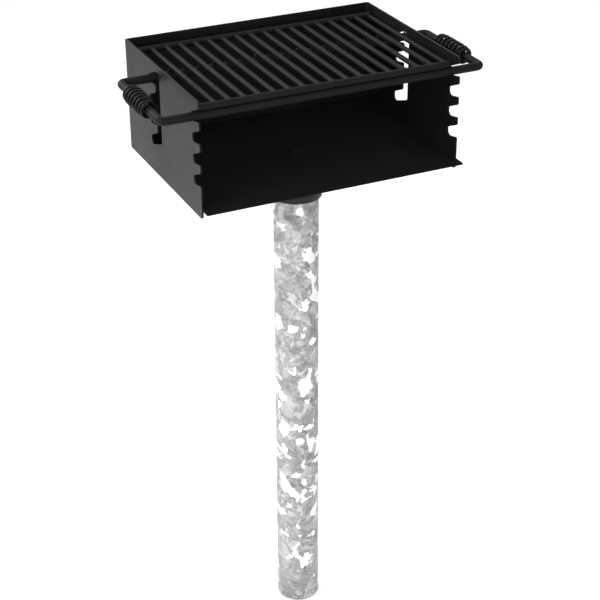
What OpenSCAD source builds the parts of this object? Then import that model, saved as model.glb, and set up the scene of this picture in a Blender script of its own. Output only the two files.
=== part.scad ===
// Park barbecue grill on a pedestal post: a welded steel firebox that turns on
// a galvanized pipe post, with a four-level cooking grate and spring grips.
// Millimetres, +Z up, the front of the grill faces -Y. The origin is the centre
// of the post's foot.

/* [Post] */
// Outside diameter of the galvanized post pipe
post_d = 88.9; // [76:0.1:101]
// Wall of the post pipe
post_wall = 5.49; // [3:0.01:8]
// Length of the post pipe
post_len = 960; // [600:1:1200]
// Thickness of the plate welded inside the top of the post
cap_t = 9.5; // [6:0.5:12]

/* [Swivel] */
// Outside diameter of the black collar under the firebox
collar_d = 101.6; // [92:0.1:114]
// Wall of the collar pipe
collar_wall = 5.74; // [3:0.01:8]
// Length of the collar pipe
collar_len = 84.35; // [50:0.05:120]
// Thickness of the plate set in the collar's lower end
base_t = 6.35; // [4:0.05:10]
// Thickness of the thrust washer that the grill turns on
thrust_t = 2; // [1.5:0.1:4]
// How far the thrust washer's edge lies inside the post's edge
thrust_inset = 6.5; // [2:0.1:12]
// Diameter of the king bolt
bolt_d = 12.7; // [11:0.1:16]
// Radial clearance of the king bolt in its holes
bolt_clear = 0.4; // [0.2:0.05:1]

/* [Firebox] */
// Outside width of the firebox
box_w = 515; // [400:1:640]
// Depth of the side walls
box_d = 365; // [330:1:440]
// Height of the walls
box_h = 219.5; // [205:0.5:260]
// Thickness of the sheet (10 gauge)
sheet_t = 3.4; // [2:0.1:5]
// Height of the floor's underside above the walls' lower edges
floor_up = 17.4; // [10:0.1:24]
// How far the floor's lip stands out in front of the walls
lip_out = 25; // [10:1:40]
// Distance of the post's axis behind the front edges of the walls
post_back = 160.8; // [120:0.1:200]

/* [Levels] */
// Number of grate heights
levels = 4; // [1:1:4]
// Height between two grate levels
level_pitch = 39.8; // [36:0.1:44]
// Height of the walls' upper edges above the cooking surface, grate at the top
rim_up = 12.9; // [8:0.1:20]
// Distance of the front support rod's axis behind the front edge
front_rod_back = 24.8; // [20:0.1:32]
// Distance between the front and rear support rods
rod_span = 205.8; // [180:0.1:230]
// Angle that the floor of a front notch rises towards the front
notch_floor_a = 12; // [8:0.5:16]
// Angle that the roof of a notch or hook rises towards the front
notch_roof_a = 24; // [23:0.5:26]
// Angle that the floor of a rear hook rises towards the slot
hook_floor_a = 10; // [8:0.5:16]
// The same angle in the lowest hook, which is also the slot's floor
last_floor_a = 20; // [8:0.5:22]
// Extra depth of the lowest hook
last_drop = 1.5; // [0:0.1:3]
// Play ahead of the rods when the grate is pulled clear of the notches
pull_play = 1.2; // [0.5:0.1:3]
// Width of the upright part of the rear slot
slot_w = 21.6; // [19:0.1:24]
// Height of the slot's upper end above the top rod axis
slot_top_up = 20.6; // [20:0.1:26]
// Play behind the rod at the end of a rear hook
hook_play = 4; // [1:0.5:8]
// Gap all round a seated rod
seat_gap = 0.3; // [0.2:0.05:0.6]
// Extra headroom over a seated rod
head_gap = 1.2; // [0.5:0.1:2]

/* [Grate] */
// Diameter of the support rod that carries the grate and forms the handles
rod_d = 15.875; // [12:0.005:16]
// Diameter of the cooking bars
bar_d = 9.525; // [8:0.005:12.7]
// Number of cooking bars
bar_count = 18; // [10:1:20]
// Diameter of the front and rear cross bars
cross_d = 12.7; // [9:0.1:14]
// Gap between the grate and each side wall
side_gap = 3.9; // [2:0.05:15]
// How far a cross bar's end stands out past the outer cooking bar
cross_over = 1.9; // [0.5:0.05:6]
// Gap between the grate and the back wall
rear_gap = 12.95; // [4:0.05:30]
// Gap that the weld metal bridges
weld_gap = 0.1; // [0.05:0.01:0.2]

/* [Handles] */
// Distance of the grip rod's axis outside the wall
grip_out = 58.5; // [50:0.1:70]
// Bend radius of the handle corners, at the rod's axis
handle_r = 9.5; // [9:0.5:24]
// Length of the spring grip
grip_len = 99; // [80:1:120]
// How far the spring grip sits behind the middle of its rod
grip_shift = 2; // [-6:0.5:6]
// Wire diameter of the spring grip
grip_wire = 6; // [3:0.1:6.5]
// Outside diameter of the spring grip at the middle
grip_mid_d = 37.2; // [34:0.1:42]
// Radial clearance of the grip's end turns on the rod
grip_clear = 1; // [0.9:0.05:2]
// Number of turns of the spring grip
grip_turns = 8; // [6:1:9]
// Length of the rounded shoulder at each end of the spring
grip_taper = 24; // [15:1:35]
// How far the left grip has spun on its rod
left_grip_turn = 90; // [0:5:355]

/* [Hidden] */
steel_black = "#2b2d2e";
steel_zinc = "#b4b7b9";
steel_dark = "#3a3c3d";
round_fn = 64;
wire_sides = 6;
turn_rings = 8;
corner_steps = 6;

post_r = post_d / 2;
rod_r = rod_d / 2;
bar_r = bar_d / 2;
cross_r = cross_d / 2;
seat_r = rod_r + seat_gap;
fit_gap = 0.15;

// Heights, from the post's foot
thrust_z = post_len;
collar_z = thrust_z + thrust_t;
floor_z = collar_z + collar_len;
floor_top_z = floor_z + sheet_t;
wall_z = floor_z - floor_up;
top_rod_up = box_h - rim_up - cross_d - weld_gap - rod_r;
rod_z = wall_z + top_rod_up;
bar_z = rod_z + rod_r + weld_gap + cross_r;

// Distances from the post's axis
front_y = -post_back;
inner_w = box_w - 2 * sheet_t;
front_rod_y = front_y + front_rod_back;
rear_rod_y = front_rod_y + rod_span;
front_bar_y = front_rod_y;
rear_bar_y = front_y + box_d - sheet_t - rear_gap - cross_r;
grate_mid_y = (front_bar_y + rear_bar_y) / 2;
bar_pitch = (inner_w - 2 * side_gap - 2 * cross_over - bar_d) / (bar_count - 1);
pull_y = front_rod_back + rod_r + pull_play;
slot_ahead = pull_y + rod_r + pull_play;
grip_x = box_w / 2 + grip_out;
grip_y = (front_rod_y + rear_rod_y) / 2 + grip_shift;

// Pivot hardware, proportions of a dome-head bolt with a square neck
head_d = 2.19 * bolt_d;
head_h = 0.55 * bolt_d;
head_rim = 1;
neck_gap = 0.2;
nut_af = 1.5 * bolt_d;
nut_h = 0.88 * bolt_d;
washer_d = 2.2 * bolt_d;
washer_t = 0.19 * bolt_d;
bolt_hole_d = bolt_d + 2 * bolt_clear;
bolt_tail = 5;
cap_z = post_len - cap_t;
nut_washer_z = cap_z - washer_t;
nut_z = nut_washer_z - nut_h;
bolt_end_z = nut_z - bolt_tail;

// Weld beads
fillet = 5;
stitch_len = 40;
bead_r = 2.2;
front_bead_len = 12;
rear_bead_len = 6;
collar_fillet = 6;

function bar_name(i) = str("cooking_bar_", i < 10 ? "0" : "", i);

// Outlines

// Corner i of an outline of [x, y, radius] points, as an arc tangent to both sides
function corner_arc(pts, i) =
    let (n = len(pts),
         p = pts[i],
         a = pts[(i + n - 1) % n],
         b = pts[(i + 1) % n],
         u = unit([a[0] - p[0], a[1] - p[1]]),
         v = unit([b[0] - p[0], b[1] - p[1]]),
         half = acos(max(-1, min(1, u * v))) / 2,
         back = p[2] / tan(half),
         centre = [p[0], p[1]] + unit(u + v) * p[2] / sin(half),
         from = [p[0], p[1]] + u * back - centre,
         to = [p[0], p[1]] + v * back - centre,
         a0 = atan2(from[1], from[0]),
         turn = sweep(a0, atan2(to[1], to[0])))
    p[2] == 0 ? [[p[0], p[1]]]
              : [for (k = [0 : corner_steps])
                     centre + p[2] * [cos(a0 + turn * k / corner_steps), sin(a0 + turn * k / corner_steps)]];

function unit(v) = v / norm(v);

function sweep(a0, a1) = let (d = a1 - a0) d > 180 ? d - 360 : d < -180 ? d + 360 : d;

function rounded(pts) = [for (i = [0 : len(pts) - 1]) each corner_arc(pts, i)];

// Height at distance y of a line at angle a that is tangent to the seat circle
// of radius r round [seat_y, seat_z], below it (side -1) or above it (side 1)
function tangent_z(seat_y, seat_z, r, a, side, y) =
    seat_z + side * r / cos(a) + (seat_y - y) * tan(a);

foot_corner_r = 6;
rear_corner_r = 2;
rim_corner_r = 4;
lip_corner_r = 1;
tooth_r_top = 3;
tooth_r_low = 4.5;
roof_r = 5;
hook_end_r = 8;
last_front_r = 7;

// The corners of one front notch, from its roof to its floor, y from the front edge
function notch_corners(z) =
    let (end_y = front_rod_back + seat_r)
    [[0, tangent_z(front_rod_back, z, seat_r + head_gap, notch_roof_a, 1, 0), tooth_r_low],
     [end_y, tangent_z(front_rod_back, z, seat_r + head_gap, notch_roof_a, 1, end_y), roof_r],
     [end_y, tangent_z(front_rod_back, z, seat_r, notch_floor_a, -1, end_y), seat_r],
     [0, tangent_z(front_rod_back, z, seat_r, notch_floor_a, -1, 0), tooth_r_top]];

function level_up(k) = top_rod_up - k * level_pitch;

// The corners of one rear hook, from its roof to its floor
function hook_corners(z, last) =
    let (seat_y = front_rod_back + rod_span,
         end_y = seat_y + rod_r + hook_play,
         slot_front = seat_y - slot_ahead,
         slot_rear = slot_front + slot_w,
         floor_a = last ? last_floor_a : hook_floor_a,
         floor_z = last ? z - last_drop : z,
         floor_y = last ? slot_front : slot_rear)
    [[slot_rear, tangent_z(seat_y, z, seat_r + head_gap, notch_roof_a, 1, slot_rear), roof_r],
     [end_y, tangent_z(seat_y, z, seat_r + head_gap, notch_roof_a, 1, end_y), roof_r],
     [end_y, tangent_z(seat_y, floor_z, seat_r, floor_a, -1, end_y), hook_end_r],
     [floor_y, tangent_z(seat_y, floor_z, seat_r, floor_a, -1, floor_y), last ? last_front_r : tooth_r_top]];

module side_outline() {
    slot_front = front_rod_back + rod_span - slot_ahead;
    slot_rear = slot_front + slot_w;
    slot_top = top_rod_up + slot_top_up;
    difference() {
        polygon(rounded(concat(
            [[0, 0, foot_corner_r], [box_d, 0, rear_corner_r],
             [box_d, box_h, rear_corner_r], [0, box_h, rim_corner_r]],
            [for (k = [0 : levels - 1]) each notch_corners(level_up(k))])));
        polygon(rounded(concat(
            [[slot_front, slot_top, roof_r], [slot_rear, slot_top, roof_r]],
            [for (k = [0 : levels - 1]) each hook_corners(level_up(k), k == levels - 1)])));
    }
}

// Stands a Y-Z outline up as a plate that fills x to x + t
module upright(x, t) {
    translate([x, front_y, wall_z])
        rotate([90, 0, 90])
            linear_extrude(height = t) children();
}

module tube(d, wall, h) {
    difference() {
        cylinder(d = d, h = h, $fn = round_fn);
        translate([0, 0, -1]) cylinder(d = d - 2 * wall, h = h + 2, $fn = round_fn);
    }
}

module disc(d, hole_d, h) {
    difference() {
        cylinder(d = d, h = h, $fn = round_fn);
        translate([0, 0, -1]) cylinder(d = hole_d, h = h + 2, $fn = round_fn);
    }
}

// A round bar along X or Y, with small chamfers at both ends
module bar_x(d, len) {
    rotate([0, 90, 0]) chamfered_bar(d, len);
}

module bar_y(d, len) {
    rotate([90, 0, 0]) chamfered_bar(d, len);
}

bar_chamfer = 0.6;

module chamfered_bar(d, len) {
    rotate_extrude($fn = round_fn)
        polygon([[0, -len / 2], [d / 2 - bar_chamfer, -len / 2], [d / 2, -len / 2 + bar_chamfer],
                 [d / 2, len / 2 - bar_chamfer], [d / 2 - bar_chamfer, len / 2], [0, len / 2]]);
}

// Post

module post_tube() {
    color(steel_zinc) tube(post_d, post_wall, post_len);
}

cap_r = post_r - post_wall - fit_gap;
cap_weld_t = 3;

module post_cap_plate() {
    color(steel_zinc) translate([0, 0, cap_z]) disc(2 * cap_r, bolt_hole_d, cap_t);
}

// Fillet under the cap plate, all round the bore of the post
module cap_weld() {
    color(steel_dark) translate([0, 0, cap_z])
        rotate_extrude($fn = round_fn)
            polygon([[cap_r + fit_gap - cap_weld_t, 0], [cap_r + fit_gap, 0], [cap_r + fit_gap, -cap_weld_t]]);
}

// King bolt and what it clamps

module hexagon(af, h) {
    cylinder(d = af / cos(30), h = h, $fn = 6);
}

// The bolt's square neck sits in a square hole in the floor, so it turns with the firebox
module neck(gap, h) {
    side = bolt_d + 2 * gap;
    translate([-side / 2, -side / 2, 0]) cube([side, side, h]);
}

// Half outline of a low dome, from its foot's middle to its top
function dome_outline(r, h, rim) =
    let (rise = h - rim, ball = (r * r + rise * rise) / (2 * rise), arc = asin(r / ball))
    concat([[0, 0], [r, 0]],
           [for (k = [0 : 9]) [ball * sin(arc * (1 - k / 10)), h - ball + ball * cos(arc * (1 - k / 10))]],
           [[0, h]]);

module pivot_bolt() {
    color(steel_black) {
        translate([0, 0, floor_top_z]) rotate_extrude($fn = round_fn) polygon(dome_outline(head_d / 2, head_h, head_rim));
        translate([0, 0, floor_z]) neck(0, sheet_t + 1);
        translate([0, 0, bolt_end_z]) cylinder(d = bolt_d, h = floor_top_z - bolt_end_z + 1, $fn = round_fn);
    }
}

module nut_washer() {
    color(steel_zinc) translate([0, 0, nut_washer_z]) disc(washer_d, bolt_hole_d, washer_t);
}

module lock_nut() {
    color(steel_zinc) translate([0, 0, nut_z])
        difference() {
            hexagon(nut_af, nut_h);
            translate([0, 0, -1]) cylinder(d = bolt_d + 2 * weld_gap, h = nut_h + 2, $fn = round_fn);
        }
}

module thrust_washer() {
    color("#8a6f3c") translate([0, 0, thrust_z]) disc(post_d - 2 * thrust_inset, bolt_hole_d, thrust_t);
}

// Swivel pedestal under the firebox

collar_bore_r = collar_d / 2 - collar_wall;

// Lies in the collar's bore, flush with its lower rim
module swivel_base_plate() {
    color(steel_black) translate([0, 0, collar_z]) disc(2 * (collar_bore_r - fit_gap), bolt_hole_d, base_t);
}

module swivel_collar() {
    color(steel_black) translate([0, 0, collar_z]) tube(collar_d, collar_wall, collar_len);
}

// Fillet rings: under the floor outside the collar, and on the base plate inside it
module collar_welds() {
    collar_r = collar_d / 2;
    color(steel_dark) {
        translate([0, 0, floor_z])
            rotate_extrude($fn = round_fn)
                polygon([[collar_r, 0], [collar_r + collar_fillet, 0], [collar_r, -collar_fillet]]);
        translate([0, 0, collar_z + base_t])
            rotate_extrude($fn = round_fn)
                polygon([[collar_bore_r, 0], [collar_bore_r - fillet, 0], [collar_bore_r, fillet]]);
    }
}

// Firebox

module left_wall() {
    color(steel_black) upright(-box_w / 2, sheet_t) side_outline();
}

module right_wall() {
    color(steel_black) upright(box_w / 2 - sheet_t, sheet_t) side_outline();
}

module back_wall() {
    color(steel_black)
        translate([-inner_w / 2, front_y + box_d - sheet_t, wall_z]) cube([inner_w, sheet_t, box_h]);
}

// The floor fills the box, and its lip runs the full width in front of the walls
module floor_plate() {
    color(steel_black) difference() {
        translate([0, 0, floor_z])
            linear_extrude(height = sheet_t)
                polygon(rounded([
                    [-box_w / 2, front_y - lip_out, lip_corner_r], [box_w / 2, front_y - lip_out, lip_corner_r],
                    [box_w / 2, front_y, 0], [inner_w / 2, front_y, 0],
                    [inner_w / 2, front_y + box_d - sheet_t, 0], [-inner_w / 2, front_y + box_d - sheet_t, 0],
                    [-inner_w / 2, front_y, 0], [-box_w / 2, front_y, 0]]));
        translate([0, 0, floor_z - 1]) neck(neck_gap, sheet_t + 2);
    }
}

// A three-sided bead of length len along Y, its square corner at the origin
module stitch_y(len, side) {
    translate([0, len / 2, 0]) rotate([90, 0, 0])
        linear_extrude(height = len) polygon([[0, 0], [side * fillet, 0], [0, -fillet]]);
}

// Stitch welds under the floor, along both side walls and the back wall
module floor_welds() {
    side_pitch = (box_d - 2 * stitch_len) / 3;
    back_pitch = (box_w - 3 * stitch_len) / 3;
    color(steel_dark) translate([0, 0, floor_z]) {
        for (s = [-1, 1], i = [0 : 3])
            translate([s * inner_w / 2, front_y + stitch_len + i * side_pitch, 0]) stitch_y(stitch_len, -s);
        for (i = [-1.5 : 1 : 1.5])
            translate([i * back_pitch, front_y + box_d - sheet_t, 0]) rotate([0, 0, 90]) stitch_y(stitch_len, -1);
    }
}

// Upright fillets inside the two rear corners
module corner_welds() {
    run = box_h - floor_up - sheet_t;
    color(steel_dark)
        for (s = [-1, 1])
            translate([s * inner_w / 2, front_y + box_d - sheet_t, floor_top_z])
                linear_extrude(height = run) polygon([[0, 0], [-s * fillet, 0], [0, -fillet]]);
}

// Grate

module rod_corner(x_side, y_side, x, y) {
    translate([x, y, rod_z])
        rotate([0, 0, x_side > 0 ? (y_side > 0 ? 0 : -90) : (y_side > 0 ? 90 : 180)])
            rotate_extrude(angle = 90, $fn = round_fn)
                translate([handle_r, 0]) circle(d = rod_d, $fn = round_fn);
}

// One closed loop of round rod: two cross rods and the two handle runs
module support_rod() {
    turn_x = grip_x - handle_r;
    front_turn_y = front_rod_y + handle_r;
    rear_turn_y = rear_rod_y - handle_r;
    color(steel_black) {
        for (y = [front_rod_y, rear_rod_y])
            translate([-turn_x, y, rod_z]) rotate([0, 90, 0]) cylinder(d = rod_d, h = 2 * turn_x, $fn = round_fn);
        for (x = [-grip_x, grip_x])
            translate([x, front_turn_y, rod_z])
                rotate([-90, 0, 0]) cylinder(d = rod_d, h = rear_turn_y - front_turn_y, $fn = round_fn);
        for (s = [-1, 1]) {
            rod_corner(s, -1, s * turn_x, front_turn_y);
            rod_corner(s, 1, s * turn_x, rear_turn_y);
        }
    }
}

butt_ring_t = 1.2;
butt_ring_len = 8;

// The ring of weld metal where the loop's two ends meet, on the rear rod between two bars
module rod_butt_weld() {
    between = floor(bar_count / 2);
    butt_x = (bar_x_at(between - 1) + bar_x_at(between)) / 2;
    color(steel_dark) translate([butt_x - butt_ring_len / 2, rear_rod_y, rod_z])
        rotate([0, 90, 0]) difference() {
            cylinder(r = rod_r + weld_gap / 2 + butt_ring_t, h = butt_ring_len, $fn = round_fn);
            translate([0, 0, -1]) cylinder(r = rod_r + weld_gap / 2, h = butt_ring_len + 2, $fn = round_fn);
        }
}

function bar_x_at(i) = (i - (bar_count + 1) / 2) * bar_pitch;

cross_len = inner_w - 2 * side_gap;
cook_len = rear_bar_y - front_bar_y - cross_d - 2 * weld_gap;

module front_cross_bar() {
    color(steel_black) translate([0, front_bar_y, bar_z]) bar_x(cross_d, cross_len);
}

module rear_cross_bar() {
    color(steel_black) translate([0, rear_bar_y, bar_z]) bar_x(cross_d, cross_len);
}

module cooking_bar(i) {
    color(steel_black) translate([bar_x_at(i), grate_mid_y, bar_z]) bar_y(bar_d, cook_len);
}

ring_len = 2.4;
ring_t = 1.1;

// A ring of weld metal round each end of each cooking bar, against the cross bar
module bar_welds() {
    color(steel_dark)
        for (i = [1 : bar_count], s = [-1, 1])
            translate([bar_x_at(i), grate_mid_y + s * (cook_len - ring_len) / 2, bar_z])
                rotate([90, 0, 0]) translate([0, 0, -ring_len / 2]) difference() {
                    cylinder(r = bar_r + weld_gap / 2 + ring_t, h = ring_len, $fn = round_fn);
                    translate([0, 0, -1]) cylinder(r = bar_r + weld_gap / 2, h = ring_len + 2, $fn = round_fn);
                }
}

// How far a bead that lies against two round bars is from the line between their
// axes, where it touches bars of radii a and b whose axes are rise apart, and how
// far along that line from the first
function bead_up(a, b, rise) =
    let (low = a + bead_r + weld_gap / 2, high = b + bead_r + weld_gap / 2)
    (low * low - high * high + rise * rise) / (2 * rise);

function bead_out(a, b, rise) =
    let (low = a + bead_r + weld_gap / 2, up = bead_up(a, b, rise)) sqrt(low * low - up * up);

// Beads in the valley behind the front cross bar, where it lies on the front rod
module front_rod_welds() {
    rise = bar_z - rod_z;
    color(steel_dark)
        for (i = [1 : 4 : bar_count - 1])
            translate([(bar_x_at(i) + bar_x_at(i + 1)) / 2, front_rod_y + bead_out(rod_r, cross_r, rise),
                       rod_z + bead_up(rod_r, cross_r, rise)])
                rotate([0, 90, 0]) translate([0, 0, -front_bead_len / 2])
                    cylinder(r = bead_r, h = front_bead_len, $fn = 24);
}

// Beads on the rear rod, on both sides of every third cooking bar that crosses it
module rear_rod_welds() {
    up = rod_r + weld_gap / 2 + bead_r;
    drop = bar_z - rod_z - up;
    reach = bar_r + bead_r + weld_gap / 2;
    out = sqrt(reach * reach - drop * drop);
    color(steel_dark)
        for (i = [2 : 3 : bar_count], s = [-1, 1])
            translate([bar_x_at(i) + s * out, rear_rod_y + rear_bead_len / 2, rod_z + up])
                rotate([90, 0, 0]) cylinder(r = bead_r, h = rear_bead_len, $fn = 24);
}

// Spring grips

end_pitch = grip_wire + 0.9;

// Distance along the grip after t turns: close turns at both ends, open between
function grip_s(t) =
    let (close = end_pitch, n = grip_turns, run = grip_len - grip_wire,
         open = (run - 2 * close) / (n - 2))
    t < 1 ? close * t : t > n - 1 ? run - close * (n - t) : close + open * (t - 1);

// Rises from 0 to 1 like a quarter circle
function shoulder(u) = let (c = 1 - max(0, min(1, u))) sqrt(1 - c * c);

// Radius of the wire's axis at distance s along the grip
function grip_r(s) =
    let (run = grip_len - grip_wire,
         end_r = rod_r + grip_clear + grip_wire / 2,
         mid_r = (grip_mid_d - grip_wire) / 2)
    end_r + (mid_r - end_r) * shoulder(min(s, run - s) / grip_taper);

// A point of the wire's axis after t turns, the grip lying along Y about its middle
function grip_axis(t) =
    let (s = grip_s(t), r = grip_r(s))
    [r * cos(360 * t), s - (grip_len - grip_wire) / 2, r * sin(360 * t)];

grip_steps = grip_turns * turn_rings;

// One ring of the wire, square to its path
function wire_ring(j) =
    let (t = j / turn_rings, h = 0.01,
         p = grip_axis(t),
         dir = unit(grip_axis(t + h) - grip_axis(t - h)),
         out = unit([cos(360 * t), 0, sin(360 * t)] - dir * ([cos(360 * t), 0, sin(360 * t)] * dir)),
         side = cross(dir, out))
    [for (k = [0 : wire_sides - 1])
        p + grip_wire / 2 * (cos(360 * k / wire_sides) * out + sin(360 * k / wire_sides) * side)];

grip_points = [for (j = [0 : grip_steps]) each wire_ring(j)];

function ring_point(j, k) = j * wire_sides + k % wire_sides;

grip_faces = concat(
    [for (k = [1 : wire_sides - 2]) [0, k, k + 1]],
    [for (j = [0 : grip_steps - 1], k = [0 : wire_sides - 1])
        each [[ring_point(j, k), ring_point(j + 1, k), ring_point(j + 1, k + 1)],
              [ring_point(j, k), ring_point(j + 1, k + 1), ring_point(j, k + 1)]]],
    [for (k = [1 : wire_sides - 2])
        [ring_point(grip_steps, 0), ring_point(grip_steps, k + 1), ring_point(grip_steps, k)]]);

// Least gap between the wire of one turn and the wire of the next, and between
// the wire and the rod, both measured on the tube's points
grip_gap = min([for (a = [0 : grip_steps], b = [a + turn_rings - 2 : 1 : min(grip_steps, a + turn_rings + 2)])
    let (pa = grip_axis(a / turn_rings), pb = grip_axis(b / turn_rings))
    norm(pa - pb) - grip_wire]);
grip_rod_gap = min([for (j = [0 : grip_steps - 1], k = [0 : wire_sides - 1])
    let (m = (grip_points[ring_point(j, k)] + grip_points[ring_point(j + 1, k)]) / 2)
    norm([m[0], m[2]]) - rod_r]);
echo(grip_gap_mm = grip_gap, grip_rod_gap_mm = grip_rod_gap);

module spring_grip(x, turned) {
    color(steel_dark) translate([x, grip_y, rod_z])
        rotate([0, -turned, 0]) polyhedron(points = grip_points, faces = grip_faces);
}

module spring_grip_left() {
    spring_grip(-grip_x, left_grip_turn);
}

module spring_grip_right() {
    mirror([1, 0, 0]) spring_grip(-grip_x, 0);
}

post_tube();
post_cap_plate();
cap_weld();
nut_washer();
lock_nut();
pivot_bolt();
thrust_washer();
swivel_base_plate();
swivel_collar();
collar_welds();
floor_plate();
left_wall();
right_wall();
back_wall();
floor_welds();
corner_welds();
support_rod();
rod_butt_weld();
front_cross_bar();
rear_cross_bar();
for (i = [1 : bar_count])
    cooking_bar(i);
bar_welds();
front_rod_welds();
rear_rod_welds();
spring_grip_left();
spring_grip_right();
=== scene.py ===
import math
import random

import bpy
from mathutils import Euler, Matrix, Vector


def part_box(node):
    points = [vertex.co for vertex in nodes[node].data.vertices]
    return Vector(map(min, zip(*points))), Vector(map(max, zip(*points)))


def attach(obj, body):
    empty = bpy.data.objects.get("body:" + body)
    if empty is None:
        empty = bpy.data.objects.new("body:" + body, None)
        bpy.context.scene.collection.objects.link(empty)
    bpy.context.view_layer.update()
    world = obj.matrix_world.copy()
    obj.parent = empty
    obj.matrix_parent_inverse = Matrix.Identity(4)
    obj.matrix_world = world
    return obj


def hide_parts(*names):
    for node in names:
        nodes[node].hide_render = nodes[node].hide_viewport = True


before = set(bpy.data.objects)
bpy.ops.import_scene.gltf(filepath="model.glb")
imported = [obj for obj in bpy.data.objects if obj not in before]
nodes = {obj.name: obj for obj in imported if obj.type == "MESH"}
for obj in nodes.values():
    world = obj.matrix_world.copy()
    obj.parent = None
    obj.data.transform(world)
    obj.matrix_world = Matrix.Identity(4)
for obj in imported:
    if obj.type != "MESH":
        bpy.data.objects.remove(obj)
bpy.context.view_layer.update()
print("frame loaded:", len(nodes), "nodes")

# camera and studio; lengths are metres, as everywhere below

camera = {
    "place": (-1.1406, -2.4317, 2.1951),
    "turn": 25.28,      # degrees right of straight ahead
    "tilt": 28.64,      # degrees below level
    "roll": -0.23,      # degrees
    "lens": 91.866,     # mm
    "sensor": 36,       # mm
    "farClip": 60,
}


def addCamera(spec):
    data = bpy.data.cameras.new("studioCamera")
    data.lens = spec["lens"]
    data.sensor_width = spec["sensor"]
    data.clip_end = spec["farClip"]
    cam = bpy.data.objects.new("studioCamera", data)
    aim = Euler((math.radians(90 - spec["tilt"]), 0, -math.radians(spec["turn"]))).to_matrix()
    aim = aim @ Matrix.Rotation(math.radians(spec["roll"]), 3, "Z")
    cam.matrix_world = Matrix.Translation(spec["place"]) @ aim.to_4x4()
    bpy.context.scene.collection.objects.link(cam)
    bpy.context.scene.camera = cam


addCamera(camera)


def newMaterial(name):
    mat = bpy.data.materials.new(name)
    mat.use_nodes = True
    return mat, mat.node_tree.nodes, mat.node_tree.links


def setOrLink(links, socket, value):
    if isinstance(value, (int, float, tuple)):
        socket.default_value = value
    else:
        links.new(value, socket)


def addMath(tree, links, kind, *values):
    node = tree.new("ShaderNodeMath")
    node.operation = kind
    for socket, value in zip(node.inputs, values):
        setOrLink(links, socket, value)
    return node.outputs[0]


studioFloor = {"half": 20.0, "paint": (0.86, 0.86, 0.86), "lift": 0.46}


def seenWhite(tree, links):
    # 1 where the eye or a reflection looks, 0 for the light that falls on things
    rays = tree.new("ShaderNodeLightPath").outputs
    seen = addMath(tree, links, "MAXIMUM", rays["Is Camera Ray"], rays["Is Glossy Ray"])
    return addMath(tree, links, "MAXIMUM", seen, rays["Is Transmission Ray"])


def addFloor(spec):
    half = spec["half"]
    corners = [(-half, -half, 0), (half, -half, 0), (half, half, 0), (-half, half, 0)]
    mesh = bpy.data.meshes.new("studioFloor")
    mesh.from_pydata(corners, [], [(0, 1, 2, 3)])
    floor = bpy.data.objects.new("studioFloor", mesh)
    bpy.context.scene.collection.objects.link(floor)
    mat, tree, links = newMaterial("studioFloorPaint")
    tree.clear()
    out = tree.new("ShaderNodeOutputMaterial")
    both = tree.new("ShaderNodeAddShader")
    paint = tree.new("ShaderNodeBsdfDiffuse")
    paint.inputs["Color"].default_value = (*spec["paint"], 1)
    glow = tree.new("ShaderNodeEmission")
    lift = addMath(tree, links, "MULTIPLY", seenWhite(tree, links), spec["lift"])
    links.new(lift, glow.inputs["Strength"])
    links.new(paint.outputs[0], both.inputs[0])
    links.new(glow.outputs[0], both.inputs[1])
    links.new(both.outputs[0], out.inputs["Surface"])
    mesh.materials.append(mat)


addFloor(studioFloor)

# the rear lamp stands where the tops of the bars mirror it, the front one looks into the firebox
lamps = {
    "left": {"place": (-3.4, -0.6, 2.4), "aim": (0, 0, 0.8), "size": 2.0, "watts": 88},
    "top": {"place": (0.2, 0.6, 4.2), "aim": (0, 0, 1.0), "size": 3.0, "watts": 30},
    "rear": {"place": (-1.3, 2.7, 2.35), "aim": (0, 0, 1.2), "size": 1.3, "watts": 50},
    "front": {"place": (-0.5, -3.0, 1.5), "aim": (0, 0, 0.9), "size": 1.4, "watts": 32},
}
worldLight = {"strength": 0.52, "backdrop": 1.0}


def addLamps(specs):
    for name, spec in specs.items():
        data = bpy.data.lights.new(name + "Lamp", "AREA")
        data.energy = spec["watts"]
        data.size = spec["size"]
        lamp = bpy.data.objects.new(name + "Lamp", data)
        lamp.location = spec["place"]
        way = Vector(spec["aim"]) - Vector(spec["place"])
        lamp.rotation_euler = way.to_track_quat("-Z", "Y").to_euler()
        bpy.context.scene.collection.objects.link(lamp)


def addWorld(spec):
    world = bpy.data.worlds.new("studioWorld")
    world.use_nodes = True
    tree, links = world.node_tree.nodes, world.node_tree.links
    back = tree["Background"]
    back.inputs["Color"].default_value = (1, 1, 1, 1)
    span = spec["backdrop"] - spec["strength"]
    level = addMath(tree, links, "MULTIPLY_ADD", seenWhite(tree, links), span, spec["strength"])
    links.new(level, back.inputs["Strength"])
    bpy.context.scene.world = world


addLamps(lamps)
addWorld(worldLight)
bpy.context.scene.view_settings.view_transform = "Standard"
print("studio ready")

# shader groups that several finishes share


def newGroup(name, ins, outs):
    group = bpy.data.node_groups.new(name, "ShaderNodeTree")
    for label, kind, value in ins:
        socket = group.interface.new_socket(
            name=label, in_out="INPUT", socket_type="NodeSocket" + kind)
        if value is not None:
            socket.default_value = value
    for label, kind in outs:
        group.interface.new_socket(name=label, in_out="OUTPUT", socket_type="NodeSocket" + kind)
    given = group.nodes.new("NodeGroupInput").outputs
    made = group.nodes.new("NodeGroupOutput").inputs
    return group, given, made


def addNoise(tree, links, place, scale, detail=2.0, rough=0.5, warp=0.0):
    node = tree.new("ShaderNodeTexNoise")
    links.new(place, node.inputs["Vector"])
    setOrLink(links, node.inputs["Scale"], scale)
    node.inputs["Detail"].default_value = detail
    node.inputs["Roughness"].default_value = rough
    node.inputs["Distortion"].default_value = warp
    return node.outputs["Fac"]


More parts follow.
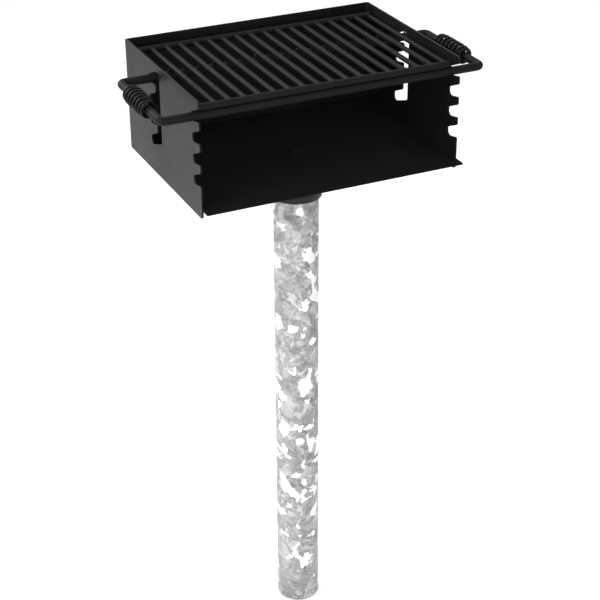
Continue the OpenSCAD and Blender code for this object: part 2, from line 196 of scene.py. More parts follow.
def addSpan(tree, links, value, fromLow, fromHigh, toLow=0.0, toHigh=1.0):
    node = tree.new("ShaderNodeMapRange")
    links.new(value, node.inputs["Value"])
    node.inputs["From Min"].default_value = fromLow
    node.inputs["From Max"].default_value = fromHigh
    node.inputs["To Min"].default_value = toLow
    node.inputs["To Max"].default_value = toHigh
    return node.outputs["Result"]


def addMix(tree, links, share, first, second):
    node = tree.new("ShaderNodeMix")
    node.data_type = "RGBA"
    # sockets 0, 6 and 7 are the factor and the two colours
    for index, value in ((0, share), (6, first), (7, second)):
        setOrLink(links, node.inputs[index], value)
    return node.outputs[2]


paintSkin = {
    "cloud": {"scale": 9.0, "detail": 4.0, "rough": 0.55},
    "peel": {"detail": 2.0, "rough": 0.5},
    "speck": {"scale": 1900.0, "detail": 1.0, "rough": 0.5},
    "settled": (0.42, 0.72),            # where in the cloud dust lies
    "fleck": (0.66, 0.74),              # which specks show
    "swing": (0.3, 0.7, -1.0, 1.0),     # roughness over the cloud
    "cloudHeight": 0.6,
}


def makePaintSkin(spec):
    # satin paint: fine orange peel, thin and thick places, a little dust
    group, given, made = newGroup("paintSkin", [
        ("Place", "Vector", None),
        ("Paint", "Color", (0.01, 0.01, 0.01, 1)),
        ("Dust", "Color", (0.05, 0.05, 0.05, 1)),
        ("Dust Share", "Float", 0.2),
        ("Peel Scale", "Float", 700.0),
        ("Roughness", "Float", 0.4),
        ("Roughness Spread", "Float", 0.08)],
        [("Colour", "Color"), ("Roughness", "Float"), ("Height", "Float")])
    tree, links = group.nodes, group.links
    place, dustShare = given["Place"], given["Dust Share"]
    cloud = addNoise(tree, links, place, **spec["cloud"])
    peel = addNoise(tree, links, place, given["Peel Scale"], **spec["peel"])
    speck = addNoise(tree, links, place, **spec["speck"])
    settled = addMath(
        tree, links, "MULTIPLY", addSpan(tree, links, cloud, *spec["settled"]), dustShare)
    fleck = addMath(
        tree, links, "MULTIPLY", addSpan(tree, links, speck, *spec["fleck"]), dustShare)
    dusty = addMath(tree, links, "MAXIMUM", settled, fleck)
    links.new(addMix(tree, links, dusty, given["Paint"], given["Dust"]), made["Colour"])
    swing = addMath(tree, links, "MULTIPLY", addSpan(tree, links, cloud, *spec["swing"]),
                    given["Roughness Spread"])
    links.new(addMath(tree, links, "ADD", given["Roughness"], swing), made["Roughness"])
    links.new(addMath(tree, links, "MULTIPLY_ADD", cloud, spec["cloudHeight"], peel),
              made["Height"])
    return group


metalGrain = {
    "cloud": {"detail": 4.0, "rough": 0.6, "warp": 0.6},
    "scratch": {"detail": 2.0, "rough": 0.6},
    "scratchStretch": (1.0, 1.0, 0.12),
    "bright": (0.34, 0.66),                 # from dull to bright over the cloud
    "swing": (0.3, 0.7, -0.06, 0.08),       # roughness over the scratches
    "cloudHeight": 0.4,
}


def makeMetalGrain(spec):
    # rolled or plated metal: cloudy tone, short fine scratches
    group, given, made = newGroup("metalGrain", [
        ("Place", "Vector", None),
        ("Bright", "Color", (0.6, 0.6, 0.6, 1)),
        ("Dull", "Color", (0.4, 0.4, 0.4, 1)),
        ("Cloud Scale", "Float", 40.0),
        ("Scratch Scale", "Float", 900.0),
        ("Roughness", "Float", 0.4)],
        [("Colour", "Color"), ("Roughness", "Float"), ("Height", "Float")])
    tree, links = group.nodes, group.links
    cloud = addNoise(tree, links, given["Place"], given["Cloud Scale"], **spec["cloud"])
    stretch = tree.new("ShaderNodeMapping")
    stretch.inputs["Scale"].default_value = spec["scratchStretch"]
    links.new(given["Place"], stretch.inputs["Vector"])
    scratch = addNoise(
        tree, links, stretch.outputs["Vector"], given["Scratch Scale"], **spec["scratch"])
    bright = addSpan(tree, links, cloud, *spec["bright"])
    links.new(addMix(tree, links, bright, given["Dull"], given["Bright"]), made["Colour"])
    swing = addSpan(tree, links, scratch, *spec["swing"])
    links.new(addMath(tree, links, "ADD", given["Roughness"], swing), made["Roughness"])
    links.new(addMath(tree, links, "MULTIPLY_ADD", cloud, spec["cloudHeight"], scratch),
              made["Height"])
    return group


spangle = {
    "bend": {"scale": 60.0, "detail": 3.0, "shift": 0.0045},
    "bigPlates": {"turn": (0.3, 0.9, 0.5), "stretch": (1.0, 1.0, 0.7)},
    "smallPlates": {"turn": (0.9, 0.2, 1.3), "stretch": (1.0, 0.55, 1.0)},
    "smallScale": 1.7,                              # of the big plates' scale
    "smallShare": 0.75,                             # of the big plates' share
    "faint": {"mark": 0.94, "share": 0.26},         # plates that stay half grey
    "smoke": {"scale": 26.0, "detail": 5.0, "rough": 0.62, "warp": 1.4},
    "wisps": {"scale": 88.0, "detail": 4.0, "rough": 0.60, "warp": 1.4},
    "curl": {"scale": 40.0, "detail": 1.5, "rough": 0.5, "warp": 0.7},
    "curlWidth": (0.004, 0.055, 0.46, 0.0),
    "curlSmoke": (0.46, 0.58),                      # curls show in pale smoke only
    "smokeTone": (0.36, 0.72, 0.0, 0.58),
    "wispTone": (0.34, 0.68),
    "wispShare": 0.62,
    "facetShare": 0.34,
    "roughness": (0.0, 1.0, 0.55, 0.42),
    "facetHeight": 0.5,
}


def makeSpangle(spec):
    # zinc crystals: grey smoky ground, pale curls, crisp pale plates of two sizes
    group, given, made = newGroup("spangle", [
        ("Place", "Vector", None),
        ("Ground", "Color", (0.4, 0.4, 0.4, 1)),
        ("Haze", "Color", (0.6, 0.6, 0.6, 1)),
        ("Plate", "Color", (0.95, 0.95, 0.95, 1)),
        ("Plate Scale", "Float", 40.0),
        ("Plate Share", "Float", 0.2)],
        [("Colour", "Color"), ("Roughness", "Float"), ("Height", "Float")])
    tree, links = group.nodes, group.links
    # the place, bent a little so that no plate has a straight edge
    bend = tree.new("ShaderNodeTexNoise")
    links.new(given["Place"], bend.inputs["Vector"])
    bend.inputs["Scale"].default_value = spec["bend"]["scale"]
    bend.inputs["Detail"].default_value = spec["bend"]["detail"]
    shift = tree.new("ShaderNodeVectorMath")
    shift.operation = "MULTIPLY_ADD"
    links.new(bend.outputs["Color"], shift.inputs[0])
    shift.inputs[1].default_value = (spec["bend"]["shift"],) * 3
    links.new(given["Place"], shift.inputs[2])
    bent = shift.outputs[0]

    def addPlates(kind, scale, share):
        turn = tree.new("ShaderNodeMapping")
        turn.inputs["Rotation"].default_value = kind["turn"]
        turn.inputs["Scale"].default_value = kind["stretch"]
        links.new(bent, turn.inputs["Vector"])
        cells = tree.new("ShaderNodeTexVoronoi")
        cells.distance = "MANHATTAN"
        links.new(turn.outputs["Vector"], cells.inputs["Vector"])
        links.new(scale, cells.inputs["Scale"])
        cells.inputs["Randomness"].default_value = 1.0
        parts = tree.new("ShaderNodeSeparateColor")
        links.new(cells.outputs["Color"], parts.inputs["Color"])
        pick, tone, dim = parts.outputs
        mark = addMath(tree, links, "SUBTRACT", 1.0, share)
        picked = addMath(tree, links, "GREATER_THAN", pick, mark)
        faint = addMath(tree, links, "GREATER_THAN", dim, spec["faint"]["mark"])
        return picked, tone, addMath(tree, links, "MULTIPLY", faint, spec["faint"]["share"])

    scale, share = given["Plate Scale"], given["Plate Share"]
    smallScale = addMath(tree, links, "MULTIPLY", scale, spec["smallScale"])
    smallShare = addMath(tree, links, "MULTIPLY", share, spec["smallShare"])
    big, facetTone, bigFaint = addPlates(spec["bigPlates"], scale, share)
    small, _, smallFaint = addPlates(spec["smallPlates"], smallScale, smallShare)
    smoke = addNoise(tree, links, bent, **spec["smoke"])
    wisps = addNoise(tree, links, bent, **spec["wisps"])
    # curls run along the line where a noise crosses its middle
    curl = addNoise(tree, links, bent, **spec["curl"])
    offLine = addMath(tree, links, "ABSOLUTE", addMath(tree, links, "SUBTRACT", curl, 0.5))
    curls = addMath(tree, links, "MULTIPLY", addSpan(tree, links, offLine, *spec["curlWidth"]),
                    addSpan(tree, links, smoke, *spec["curlSmoke"]))
    pale = big
    for more in (small, bigFaint, smallFaint, curls):
        pale = addMath(tree, links, "MAXIMUM", pale, more)
    facet = addMath(tree, links, "MULTIPLY",
                    addMath(tree, links, "SUBTRACT", facetTone, 0.5), spec["facetShare"])
    murk = addMath(tree, links, "MULTIPLY_ADD", addSpan(tree, links, wisps, *spec["wispTone"]),
                   spec["wispShare"], addSpan(tree, links, smoke, *spec["smokeTone"]))
    tone = addMath(tree, links, "ADD", murk, facet)
    ground = addMix(tree, links, tone, given["Ground"], given["Haze"])
    links.new(addMix(tree, links, pale, ground, given["Plate"]), made["Colour"])
    links.new(addSpan(tree, links, tone, *spec["roughness"]), made["Roughness"])
    relief = addMath(tree, links, "ADD", pale, wisps)
    links.new(addMath(tree, links, "MULTIPLY_ADD", facetTone, spec["facetHeight"], relief),
              made["Height"])
    return group


groups = {
    "paint": makePaintSkin(paintSkin),
    "metal": makeMetalGrain(metalGrain),
    "spangle": makeSpangle(spangle),
}
print("shader groups:", ", ".join(groups))

# finishes: capitals name a group's inputs, reach is the bump's depth in metres

finishes = {
    "blackEnamel": {
        "group": "paint", "bump": 0.05, "reach": 0.0004, "gloss": 0.081,
        "Paint": (0.0070, 0.0074, 0.0077), "Dust": (0.0145, 0.0152, 0.0157), "Dust Share": 0.40,
        "Peel Scale": 620.0, "Roughness": 0.38, "Roughness Spread": 0.05},
    # the collar's black enamel with its paint and dust about twice as pale: painted light on the
    # collar
    "collarPaintedLightEnamel": {
        "group": "paint", "bump": 0.05, "reach": 0.0004, "gloss": 0.12,
        "Paint": (0.0150, 0.0157, 0.0162), "Dust": (0.0250, 0.0260, 0.0265), "Dust Share": 0.40,
        "Peel Scale": 620.0, "Roughness": 0.42, "Roughness Spread": 0.05},
    "floorEnamel": {
        "group": "paint", "bump": 0.08, "reach": 0.0004, "gloss": 0.01,
        "Paint": (0.0078, 0.0083, 0.0083), "Dust": (0.0105, 0.0111, 0.0111), "Dust Share": 0.40,
        "Peel Scale": 620.0, "Roughness": 0.66, "Roughness Spread": 0.06},
    "blackBar": {
        "group": "paint", "bump": 0.10, "reach": 0.0004, "gloss": 0.085,
        "Paint": (0.0064, 0.0068, 0.0070), "Dust": (0.0140, 0.0148, 0.0150), "Dust Share": 0.45,
        "Peel Scale": 900.0, "Roughness": 0.58, "Roughness Spread": 0.06},
    "weldBead": {
        "group": "paint", "bump": 0.30, "reach": 0.0005, "gloss": 0.08,
        "Paint": (0.0046, 0.0049, 0.0049), "Dust": (0.0120, 0.0125, 0.0122), "Dust Share": 0.50,
        "Peel Scale": 1300.0, "Roughness": 0.52, "Roughness Spread": 0.08},
    "springWire": {
        "group": "paint", "bump": 0.08, "reach": 0.0003, "gloss": 0.10,
        "Paint": (0.0036, 0.0039, 0.0041), "Dust": (0.0075, 0.0081, 0.0085), "Dust Share": 0.40,
        "Peel Scale": 1500.0, "Roughness": 0.30, "Roughness Spread": 0.06},
    "zincPlate": {
        "group": "metal", "bump": 0.12, "reach": 0.0003, "metallic": 1.0,
        "Bright": (0.62, 0.63, 0.64), "Dull": (0.47, 0.48, 0.49),
        "Cloud Scale": 55.0, "Scratch Scale": 1200.0, "Roughness": 0.36},
    "bearingBronze": {
        "group": "metal", "bump": 0.10, "reach": 0.0003, "metallic": 1.0,
        "Bright": (0.58, 0.43, 0.22), "Dull": (0.40, 0.28, 0.14),
        "Cloud Scale": 45.0, "Scratch Scale": 1000.0, "Roughness": 0.38},
    "galvanized": {
        "group": "spangle", "bump": 0.10, "reach": 0.0005, "metallic": 0.15,
        "Ground": (0.174, 0.178, 0.182), "Haze": (0.490, 0.498, 0.502),
        "Plate": (0.970, 0.975, 0.980), "Plate Scale": 43.0, "Plate Share": 0.080},
}


def makeFinish(name, spec):
    mat, tree, links = newMaterial(name)
    shader = tree["Principled BSDF"]
    effect = tree.new("ShaderNodeGroup")
    effect.node_tree = groups[spec["group"]]
    links.new(tree.new("ShaderNodeTexCoord").outputs["Object"], effect.inputs["Place"])
    for label, value in spec.items():
        if label in effect.inputs:
            colour = isinstance(value, tuple)
            effect.inputs[label].default_value = (*value, 1) if colour else value
    links.new(effect.outputs["Colour"], shader.inputs["Base Color"])
    links.new(effect.outputs["Roughness"], shader.inputs["Roughness"])
    shader.inputs["Metallic"].default_value = spec.get("metallic", 0.0)
    shader.inputs["Specular IOR Level"].default_value = spec.get("gloss", 0.5)
    bump = tree.new("ShaderNodeBump")
    bump.inputs["Strength"].default_value = spec["bump"]
    bump.inputs["Distance"].default_value = spec["reach"]
    links.new(effect.outputs["Height"], bump.inputs["Height"])
    links.new(bump.outputs["Normal"], shader.inputs["Normal"])
    return mat


finish = {name: makeFinish(name, spec) for name, spec in finishes.items()}
print("finishes:", ", ".join(finish))

# the CAD nodes that stay, each with its finish and a softened edge

cookingBars = sorted(name for name in nodes if name.startswith("cooking_bar_"))
plates = {
    "blackEnamel": ["left_wall", "right_wall", "back_wall", "swivel_base_plate"],
    # the collar gets the paler copy of the black enamel, as painted light
    "collarPaintedLightEnamel": ["swivel_collar"],
    "floorEnamel": ["floor_plate"],
    "galvanized": ["post_tube", "post_cap_plate"],
    "zincPlate": ["nut_washer", "lock_nut"],
    "bearingBronze": ["thrust_washer"],
    "blackBar": ["front_cross_bar", "rear_cross_bar"] + cookingBars,
}
# bars keep their bevelled ends from the CAD
edgeRound = {
    "blackEnamel": 0.0006, "collarPaintedLightEnamel": 0.0006, "floorEnamel": 0.0006,
    "galvanized": 0.0007, "zincPlate": 0.0004, "bearingBronze": 0.0003,
}
edgeCut = {"joinUnder": 0.00001, "segments": 2, "sharpFrom": 40}


def dressNode(name, material, rounding):
    obj = nodes[name]
    obj.data.materials.clear()
    obj.data.materials.append(material)
    if rounding:
        weld = obj.modifiers.new("joinEdges", "WELD")
        weld.merge_threshold = edgeCut["joinUnder"]
        bevel = obj.modifiers.new("softEdges", "BEVEL")
        bevel.width = rounding
        bevel.segments = edgeCut["segments"]
        bevel.limit_method = "ANGLE"
        bevel.angle_limit = math.radians(edgeCut["sharpFrom"])
        bevel.harden_normals = True


for finishName, names in plates.items():
    for name in names:
        dressNode(name, finish[finishName], edgeRound.get(finishName, 0))
print("plates and bars dressed")

# mesh helpers


def newPiece(name, verts, faces, material, body, slot, *stoodFor, sharp=40):
    # sharp is the angle in degrees from which an edge stays crisp
    mesh = bpy.data.meshes.new(name)
    mesh.from_pydata(verts, [], faces)
    mesh.materials.append(material)
    mesh.polygons.foreach_set("use_smooth", [True] * len(mesh.polygons))
    mesh.set_sharp_from_angle(angle=math.radians(sharp))
    obj = bpy.data.objects.new(name, mesh)
    bpy.context.scene.collection.objects.link(obj)
    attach(obj, body)
    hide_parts(*stoodFor)


def loftRings(rings, closed=False, base=0):
    # quads between rings of equal count, with flat ends unless the rings close on themselves
    count = len(rings[0])
    verts = [tuple(p) for ring in rings for p in ring]
    faces = []
    for j in range(len(rings) if closed else len(rings) - 1):
        a, b = base + j * count, base + (j + 1) % len(rings) * count
        for k in range(count):
            m = (k + 1) % count
            faces.append((a + k, a + m, b + m, b + k))
    if not closed:
        end = base + (len(rings) - 1) * count
        faces.append(tuple(base + k for k in reversed(range(count))))
        faces.append(tuple(end + k for k in range(count)))
    return verts, faces


def joinLofts(parts):
    verts, faces = [], []
    for rings, closed in parts:
        more, loops = loftRings(rings, closed, len(verts))
        verts += more
        faces += loops
    return verts, faces


def ringRound(centre, along, out, radius, sides):
    # a ring that turns from out towards along x out, seen with along pointing away
    side = along.cross(out).normalized()
    return [centre + radius * (math.cos(a) * out + math.sin(a) * side)
            for a in (2 * math.pi * k / sides for k in range(sides))]


# support rod: one round bar bent into a closed loop

supportRod = {"bend": 0.0095, "bendSteps": 12, "sides": 40, "runStep": 0.045}


def rodPath(spec, low, high, radius):
    # points and outward directions: the four bends first, then steps along the straight runs
    bend = spec["bend"]
    height = (low.z + high.z) / 2
    west, east = low.x + radius, high.x - radius
    south, north = low.y + radius, high.y - radius
    corners = [(east, south, -90), (east, north, 0), (west, north, 90), (west, south, 180)]
    path = []
    for x, y, start in corners:
        middle = Vector((x - bend if x > 0 else x + bend,
                         y + bend if y == south else y - bend, height))
        for k in range(spec["bendSteps"] + 1):
            a = math.radians(start + 90 * k / spec["bendSteps"])
            out = Vector((math.cos(a), math.sin(a), 0))
            path.append((middle + bend * out, out))
    full = []
    for (here, out), (there, _) in zip(path, path[1:] + path[:1]):
        full.append((here, out))
        gap = (there - here).length
        if gap > 2 * spec["runStep"]:
            pieces = int(gap / spec["runStep"])
            full += [(here.lerp(there, k / pieces), out) for k in range(1, pieces)]
    return full


def addSupportRod(spec):
    low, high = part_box("support_rod")
    radius = (high.z - low.z) / 2
    up = Vector((0, 0, 1))
    rings = [ringRound(point, up.cross(out), out, radius, spec["sides"])
             for point, out in rodPath(spec, low, high, radius)]
    verts, faces = loftRings(rings, True)
    newPiece("bentSupportRod", verts, faces, finish["blackBar"], "grate", "black_rod",
             "support_rod")
    return radius


rodRadius = addSupportRod(supportRod)
print("support rod bent")

# spring grips: one wire each, close at both ends and open between

springGrip = {
    "run": 0.093,           # along the rod, from the wire's first centre to its last
    "wire": 0.006,
    "middle": 0.0372,       # outside diameter
    "clear": 0.001,         # between the end turns and the rod
    "turns": 8,
    "shoulder": 0.024,
    "closePitch": 0.0069,
    "ringsPerTurn": 32,
    "sides": 14,
    "endRound": 0.0009,
    "tangentStep": 0.01,    # of a turn
}


def gripPoint(spec, turn, side, spun, centre, rod):
    run, close, n = spec["run"], spec["closePitch"], spec["turns"]
    openPitch = (run - 2 * close) / (n - 2)
    if turn < 1:
        along = close * turn
    elif turn > n - 1:
        along = run - close * (n - turn)
    else:
        along = close + openPitch * (turn - 1)
    gap = 1 - max(0.0, min(1.0, min(along, run - along) / spec["shoulder"]))
    endRadius = rod + spec["clear"] + spec["wire"] / 2
    middleRadius = (spec["middle"] - spec["wire"]) / 2
    radius = endRadius + (middleRadius - endRadius) * math.sqrt(1 - gap * gap)
    a = 2 * math.pi * turn + math.radians(spun)
    return centre + Vector((side * radius * math.cos(a), along - run / 2, radius * math.sin(a)))


def addSpringGrip(spec, name, node, body, rod, side, spun):
    # side is +1 or -1 for the way the wire winds, spun the degrees at which it starts
    low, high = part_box(node)
    centre = (low + high) / 2
    steps = spec["turns"] * spec["ringsPerTurn"]
    half, endRound, sides = spec["wire"] / 2, spec["endRound"], spec["sides"]
    rings = []
    for j in range(steps + 1):
        t = j / spec["ringsPerTurn"]
        here, ahead, behind = (gripPoint(spec, t + step, side, spun, centre, rod)
                               for step in (0, spec["tangentStep"], -spec["tangentStep"]))
        along = (ahead - behind).normalized()
        away = Vector((here.x - centre.x, 0, here.z - centre.z))
        out = (away - along * away.dot(along)).normalized()
        if j in (0, steps):
            inward = along if j == 0 else -along
            tip = ringRound(here, along, out, half - endRound, sides)
            full = ringRound(here + inward * endRound, along, out, half, sides)
            rings += [tip, full] if j == 0 else [full, tip]
        else:
            rings.append(ringRound(here, along, out, half, sides))
    if side > 0:
        rings = [list(reversed(ring)) for ring in rings]
    verts, faces = loftRings(rings)
    newPiece(name, verts, faces, finish["springWire"], body, "spring_wire", node, sharp=50)


addSpringGrip(springGrip, "coilGripLeft", "spring_grip_left", "grip_left", rodRadius,
              side=1, spun=90)
addSpringGrip(springGrip, "coilGripRight", "spring_grip_right", "grip_right", rodRadius,
              side=-1, spun=0)
print("spring grips wound")

# welds: rippled beads where the CAD has plain ones

dice = random.Random(11)
bead = {
    "ripple": 0.0022,
    "rippleDepth": 0.09,
    "stepsPerRipple": 4,
    "phases": 3,            # how far a bead's first ripple may be shifted
    "wander": 0.05,
    "bulge": 0.16,
    "arcSteps": 7,
    "buried": 0.0002,
    "endShare": 0.45,       # of the full size, at a bead's ends
    "endLength": 1.3,       # of the bead's size, until it is full
}


def rippleAt(spec, s, phase):
    wave = abs(math.sin(math.pi * (s / spec["ripple"]) + phase))
    return 1 - spec["rippleDepth"] * (1 - wave) + spec["wander"] * (dice.random() - 0.5)


def filletRing(spec, corner, legA, legB, size):
    # a bead's section between two square surfaces, its back buried a hair in the corner
    ring = [corner - (legA + legB) * spec["buried"]]
    for k in range(spec["arcSteps"] + 1):
        a = math.pi / 2 * k / spec["arcSteps"]
        reach = size / (math.cos(a) + math.sin(a)) * (1 + spec["bulge"] * math.sin(2 * a))
        ring.append(corner + reach * (math.cos(a) * legA + math.sin(a) * legB))
    return ring


def straightFillet(spec, start, end, legA, legB, size):
    length = (end - start).length
    count = int(length / spec["ripple"] * spec["stepsPerRipple"])
    phase = dice.random() * spec["phases"]
    if (end - start).cross(legA).dot(legB) > 0:
        legA, legB = legB, legA
    rings = []
    for j in range(count + 1):
        s = length * j / count
        fade = min(1.0, spec["endShare"] + min(s, length - s) / (spec["endLength"] * size))
        tall = size * fade * rippleAt(spec, s, phase)
        rings.append(filletRing(spec, start.lerp(end, j / count), legA, legB, tall))
    return rings, False


def roundFillet(spec, centre, radius, size, outward, upward):
    # a bead round a vertical pipe: outward is 1 outside it and -1 in its bore, upward is 1
    # where the bead stands on a flat face and -1 where it hangs under one
    count = int(2 * math.pi * radius / spec["ripple"] * spec["stepsPerRipple"])
    rings = []
    for j in range(count):
        a = 2 * math.pi * j / count
        out = Vector((math.cos(a), math.sin(a), 0))
        legs = [out * outward, Vector((0, 0, upward))]
        if outward * upward > 0:
            legs.reverse()
        tall = size * rippleAt(spec, a * radius, 0)
        rings.append(filletRing(spec, centre + radius * out, *legs, tall))
    return rings, True


floorBeads = {
    "size": 0.005,          # across the bead
    "stitch": 0.040,
    "stitches": 4,          # along each of the three walls
    "rearMargin": 1.5,      # in stitches, at both ends of the back wall's row
}


def addFloorBeads(spec):
    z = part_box("floor_welds")[1].z
    leftLow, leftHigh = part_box("left_wall")
    front, depth = leftLow.y, leftHigh.y - leftLow.y
    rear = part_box("back_wall")[0].y
    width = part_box("right_wall")[1].x * 2
    down = Vector((0, 0, -1))
    stitch, size, gaps = spec["stitch"], spec["size"], spec["stitches"] - 1
    parts = []
    for side in (-1, 1):
        for i in range(spec["stitches"]):
            x = side * -leftHigh.x
            y = front + stitch + i * (depth - 2 * stitch) / gaps
            start, end = Vector((x, y - stitch / 2, z)), Vector((x, y + stitch / 2, z))
            parts.append(straightFillet(bead, start, end, Vector((-side, 0, 0)), down, size))
    for i in range(spec["stitches"]):
        x = (i - gaps / 2) * (width - 2 * spec["rearMargin"] * stitch) / gaps
        start, end = Vector((x - stitch / 2, rear, z)), Vector((x + stitch / 2, rear, z))
        parts.append(straightFillet(bead, start, end, Vector((0, -1, 0)), down, size))
    verts, faces = joinLofts(parts)
    newPiece("floorBeads", verts, faces, finish["weldBead"], "firebox", "weld", "floor_welds")


cornerBeads = {"size": 0.005}


def addCornerBeads(spec):
    low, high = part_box("corner_welds")
    wallIn = -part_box("left_wall")[1].x
    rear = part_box("back_wall")[0].y
    parts = []
    for side in (-1, 1):
        foot, top = Vector((side * wallIn, rear, low.z)), Vector((side * wallIn, rear, high.z))
        parts.append(straightFillet(bead, foot, top, Vector((-side, 0, 0)), Vector((0, -1, 0)),
                                    spec["size"]))
    verts, faces = joinLofts(parts)
    newPiece("cornerBeads", verts, faces, finish["weldBead"], "firebox", "weld",
             "corner_welds")


collarBeads = {
    "topSize": 0.006,
    "footSize": 0.005,
    "plateGap": 0.00015,    # between the collar's bore and the plate in it
}


def addCollarBeads(spec):
    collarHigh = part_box("swivel_collar")[1]
    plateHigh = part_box("swivel_base_plate")[1]
    top, foot = Vector((0, 0, collarHigh.z)), Vector((0, 0, plateHigh.z))
    bore = plateHigh.x + spec["plateGap"]
    parts = [roundFillet(bead, top, collarHigh.x, spec["topSize"], outward=1, upward=-1),
             roundFillet(bead, foot, bore, spec["footSize"], outward=-1, upward=1)]
    verts, faces = joinLofts(parts)
    newPiece("collarBeads", verts, faces, finish["weldBead"], "firebox", "weld",
             "collar_welds")


capBead = {"size": 0.003}


def addCapBead(spec):
    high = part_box("cap_weld")[1]
    rings, closed = roundFillet(bead, Vector((0, 0, high.z)), high.x, spec["size"],
                                outward=-1, upward=-1)
    verts, faces = loftRings(rings, closed)
    newPiece("capBead", verts, faces, finish["weldBead"], "post", "weld", "cap_weld")


addFloorBeads(floorBeads)
addCornerBeads(cornerBeads)
addCollarBeads(collarBeads)
addCapBead(capBead)
print("firebox, collar and cap beads laid")

# grate welds: a saddle round each bar's end, short beads on the support rod, the loop's butt weld

saddle = {
    "sides": 28,
    "phases": 6,
    "lumps": 5,
    "lumpDepth": 0.05,
    "wander": 0.03,
    # rings on the bar: how far over its surface and how far back from its tip, each as a
    # fixed length and one that goes up and down with the lumps
    "barRings": (
        {"over": -0.0002, "overLump": 0.0, "back": 0.0, "backLump": 0.0034},
        {"over": 0.00025, "overLump": 0.0, "back": 0.0, "backLump": 0.00306},
        {"over": 0.0, "overLump": 0.0009, "back": 0.0013, "backLump": 0.0},
    ),
    # rings on the cross bar: fall is the share of its curve that they follow, sunk how far
    # they lie in it, spread their widening along it
    "crossRings": (
        {"overLump": 0.00081, "level": 1.0, "fall": 0.62, "sunk": 0.0,
         "spread": 1.04, "seated": False},
        {"overLump": 0.0005, "level": 0.93, "fall": 1.0, "sunk": 0.0006,
         "spread": 1.10, "seated": True},
    ),
    "highest": 0.985,       # of the cross bar's radius
    "nearest": 0.0006,      # from the bar's tip to a ring on the cross bar
}


def saddleRings(spec, x, tip, height, toward, bar, cross):
    # from the bar's surface over the gap onto the round cross bar; toward is +1 for the rear end
    phase = dice.random() * spec["phases"]
    limit = cross * spec["highest"]
    rows = []
    for part in spec["barRings"] + spec["crossRings"]:
        ring = []
        for k in range(spec["sides"]):
            a = 2 * math.pi * k / spec["sides"]
            lump = (1 + spec["lumpDepth"] * math.sin(spec["lumps"] * a + phase)
                    + spec["wander"] * (dice.random() - 0.5))
            reach = bar + part.get("over", 0.0) + part["overLump"] * lump
            px, pz = reach * math.sin(a), reach * math.cos(a)
            if "fall" in part:
                level = max(-limit, min(limit, pz * part["level"]))
                fall = cross - math.sqrt(cross * cross - level * level)
                depth = max(spec["nearest"], fall * part["fall"] + part["sunk"])
                px *= part["spread"]
                if part["seated"]:
                    pz = level
            else:
                depth = -(part["back"] + part["backLump"] * lump)
            ring.append(Vector((x + px, tip + toward * depth, height + pz)))
        rows.append(ring)
    if toward > 0:
        rows = [list(reversed(ring)) for ring in rows]
    return rows, False


def addBarSaddles(spec):
    frontLow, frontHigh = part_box("front_cross_bar")
    cross = (frontHigh.z - frontLow.z) / 2
    parts = []
    for name in cookingBars:
        low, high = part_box(name)
        x, z, bar = (low.x + high.x) / 2, (low.z + high.z) / 2, (high.x - low.x) / 2
        parts.append(saddleRings(spec, x, low.y, z, -1, bar, cross))
        parts.append(saddleRings(spec, x, high.y, z, 1, bar, cross))
    verts, faces = joinLofts(parts)
    newPiece("barSaddles", verts, faces, finish["weldBead"], "grate", "weld", "bar_welds",
             sharp=60)


rodBead = {
    "sides": 16,
    "ripple": 0.0020,
    "rippleDepth": 0.10,
    "stepsPerRipple": 4,
    "phases": 3,
    "wander": 0.04,
    "tipShare": 0.12,       # of the full section's area, at both tips
    "bluntness": 3.2,
    "longer": 1.1,          # than the CAD's bead
    "fatter": 1.06,
}


def lumpBead(spec, centre, axis, up, length, radius):
    # a short rounded bead with ripples across it
    count = int(length / spec["ripple"] * spec["stepsPerRipple"])
    phase = dice.random() * spec["phases"]
    rings = []
    for j in range(count + 1):
        u = 2 * j / count - 1
        taper = math.sqrt(max(spec["tipShare"], 1 - abs(u) ** spec["bluntness"]))
        s = length * j / count
        crest = abs(math.sin(math.pi * s / spec["ripple"] + phase))
        wave = 1 - spec["rippleDepth"] * (1 - crest) + spec["wander"] * (dice.random() - 0.5)
        middle = centre + axis * (u * length / 2)
        rings.append(ringRound(middle, axis, up, radius * taper * wave, spec["sides"]))
    return rings, False


def islandBoxes(node):
    # the middle and the size of each separate solid of a CAD node, from the points of its mesh
    mesh = nodes[node].data
    points = [tuple(round(c, 6) for c in v.co) for v in mesh.vertices]
    owner = {p: p for p in points}

    def root(p):
        while owner[p] != p:
            owner[p] = owner[owner[p]]
            p = owner[p]
        return p

    for face in mesh.polygons:
        first = root(points[face.vertices[0]])
        for v in face.vertices[1:]:
            owner[root(points[v])] = first
    islands = {}
    for p in set(points):
        islands.setdefault(root(p), []).append(p)
    made = []
    for group in islands.values():
        low, high = Vector(map(min, zip(*group))), Vector(map(max, zip(*group)))
        made.append(((low + high) / 2, high - low))
    return sorted(made, key=lambda item: (round(item[0].y, 4), item[0].x))


def addRodBeads(spec, node, name, axis):
    parts = []
    for centre, size in islandBoxes(node):
        length = size.x if axis.x else size.y
        parts.append(lumpBead(spec, centre, axis, Vector((0, 0, 1)), length * spec["longer"],
                              size.z / 2 * spec["fatter"]))
    verts, faces = joinLofts(parts)
    newPiece(name, verts, faces, finish["weldBead"], "grate", "weld", node)


buttWeld = {
    "sides": 48,
    "rings": 18,
    "swell": 0.0012,
    "sunk": 0.00005,
    "ripples": 11,
    "rippleDepth": 0.12,
    "lean": 1.4,            # how far the ripples lean over the bead's crown
}


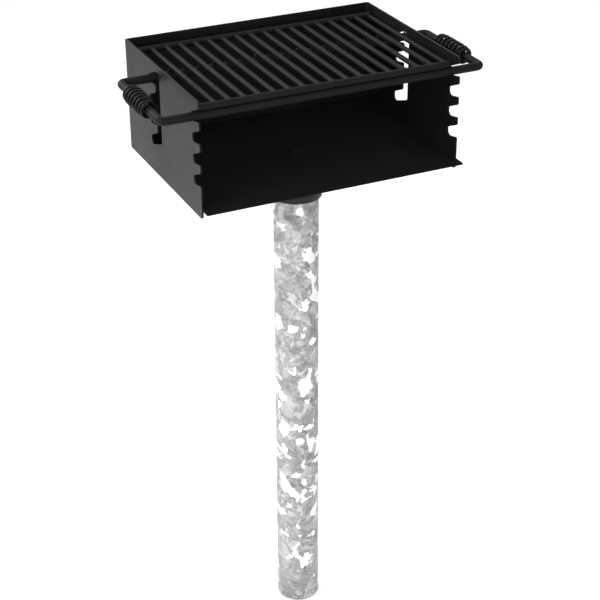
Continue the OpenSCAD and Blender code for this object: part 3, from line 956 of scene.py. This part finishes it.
def addButtWeld(spec):
    low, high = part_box("rod_butt_weld")
    centre = (low + high) / 2
    half = (high.x - low.x) / 2
    rings = []
    for j in range(spec["rings"] + 1):
        u = 2 * j / spec["rings"] - 1
        swell = spec["swell"] * math.sqrt(max(0.0, 1 - u * u)) - spec["sunk"]
        ring = []
        for k in range(spec["sides"]):
            a = 2 * math.pi * k / spec["sides"]
            wave = abs(math.sin(spec["ripples"] * a + spec["lean"] * (1 - u * u)))
            crest = 1 - spec["rippleDepth"] * (1 - wave)
            reach = rodRadius + swell * crest
            ring.append(centre + Vector((u * half, reach * math.cos(a), reach * math.sin(a))))
        rings.append(ring)
    verts, faces = loftRings(rings)
    newPiece("rodButtBead", verts, faces, finish["weldBead"], "grate", "weld", "rod_butt_weld")


addBarSaddles(saddle)
addRodBeads(rodBead, "front_rod_welds", "frontRodBeads", Vector((1, 0, 0)))
addRodBeads(rodBead, "rear_rod_welds", "rearRodBeads", Vector((0, 1, 0)))
addButtWeld(buttWeld)
print("grate beads laid")

# king bolt: low dome, square neck, plain shank

kingBolt = {
    "dome": 0.0278,
    "height": 0.0070,
    "rim": 0.0010,
    "rimRound": 0.0004,
    "domeSteps": 14,
    "firstStep": 0.985,     # of the dome's half angle
    "sides": 64,
    "neck": 0.0034,         # through the floor
    "neckIn": 0.0005,       # up into the head
    "shank": 0.0127,
    "shankSides": 32,
    "chamfer": 0.0012,
}


def addKingBolt(spec):
    low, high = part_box("pivot_bolt")
    floorTop = high.z - spec["height"]
    wide, rise, edge = spec["dome"] / 2, spec["height"] - spec["rim"], spec["rimRound"]
    ball = (wide * wide + rise * rise) / (2 * rise)
    arc = math.asin(wide / ball)
    outline = [(wide - edge, 0.0), (wide - edge / 4, edge / 4), (wide, edge),
               (wide, spec["rim"] - edge * 3 / 4)]
    for k in range(spec["domeSteps"]):
        a = arc * (1 - k / spec["domeSteps"] if k else spec["firstStep"])
        outline.append((ball * math.sin(a), spec["height"] - ball + ball * math.cos(a)))
    up, out = Vector((0, 0, 1)), Vector((1, 0, 0))
    head = [ringRound(Vector((0, 0, floorTop + z)), up, out, r, spec["sides"])
            for r, z in outline]
    half = spec["shank"] / 2
    square = ((1, -1), (1, 1), (-1, 1), (-1, -1))
    neck = [[Vector((sx * half, sy * half, z)) for sx, sy in square]
            for z in (floorTop - spec["neck"], floorTop + spec["neckIn"])]
    steps = ((low.z, half - spec["chamfer"]), (low.z + spec["chamfer"], half), (floorTop, half))
    shank = [ringRound(Vector((0, 0, z)), up, out, r, spec["shankSides"]) for z, r in steps]
    verts, faces = joinLofts([(head, False), (neck, False), (shank, False)])
    newPiece("domeBolt", verts, faces, finish["floorEnamel"], "firebox", "black_bolt",
             "pivot_bolt")


addKingBolt(kingBolt)
print("king bolt turned")
